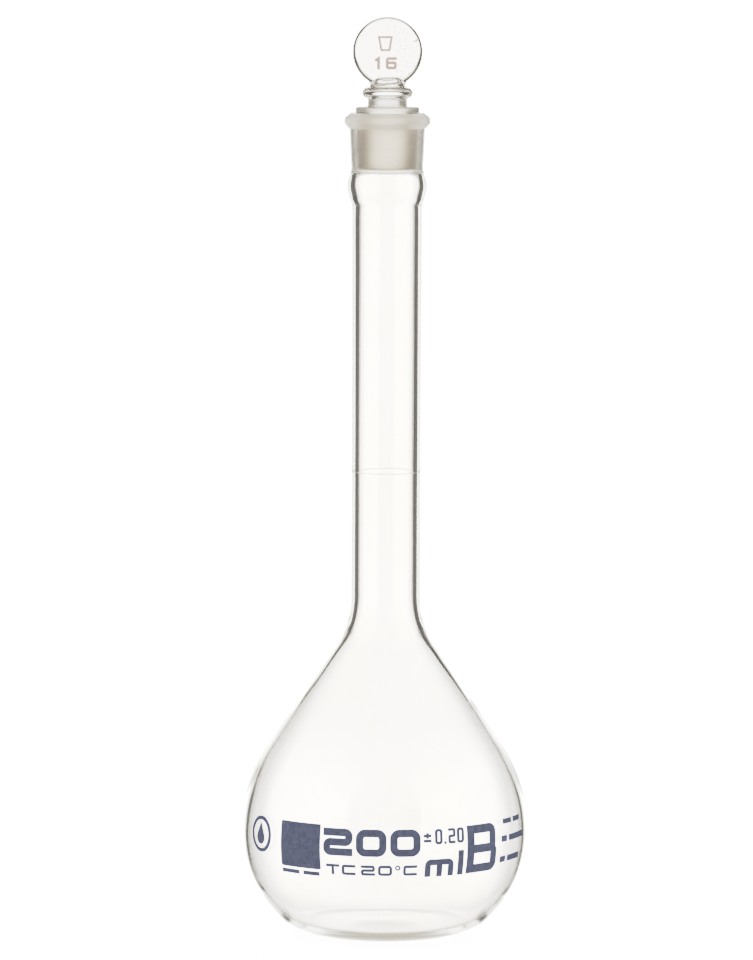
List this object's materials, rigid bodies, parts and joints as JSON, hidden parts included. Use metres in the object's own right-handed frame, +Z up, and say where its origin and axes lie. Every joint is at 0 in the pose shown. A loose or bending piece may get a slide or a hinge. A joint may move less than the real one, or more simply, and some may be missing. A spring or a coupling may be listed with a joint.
{
  "type": "volumetric flask",
  "caption": "Pear-shaped glass measuring flask with a long narrow neck, an etched graduation ring and a flat-headed ground glass stopper that lifts out.",
  "frame": {"origin": "centre of the base, on the surface that the flask stands on", "axes": "+Z up the neck; the enamel marks and the front of the stopper's head face -Y, +X is to the reader's right"},
  "size_m": [0.074, 0.0741, 0.236],
  "materials": {
    "clear_glass": "clear fire-polished borosilicate glass",
    "socket_glass": "clear outside, finely ground and translucent inside",
    "stopper_glass": "clear pressed head and collar, finely ground translucent plug",
    "enamel": "fired blue-grey enamel, slightly matt and mottled",
    "etched_line": "matt etched line",
    "matt_figures": "matt pinkish grey fired figures"
  },
  "bodies": {
    "flask": {"bulb": "clear_glass", "neck_tube": "clear_glass", "ground_socket": "socket_glass", "graduation_ring": "etched_line", "writing_patch": "enamel", "capacity_figures": "enamel", "unit_letters": "enamel", "tolerance_figures": "enamel", "temperature_legend": "enamel", "class_letter": "enamel", "drop_pictogram": "enamel", "plain_blocks": "enamel"},
    "stopper": {"stopper": "stopper_glass", "stopper_size_mark": "matt_figures"}
  },
  "joints": [
    {"name": "stopper_lift", "type": "slide", "parent": "flask", "child": "stopper", "axis": [0, 0, 1], "range_m": [0, 0.04]}
  ]
}
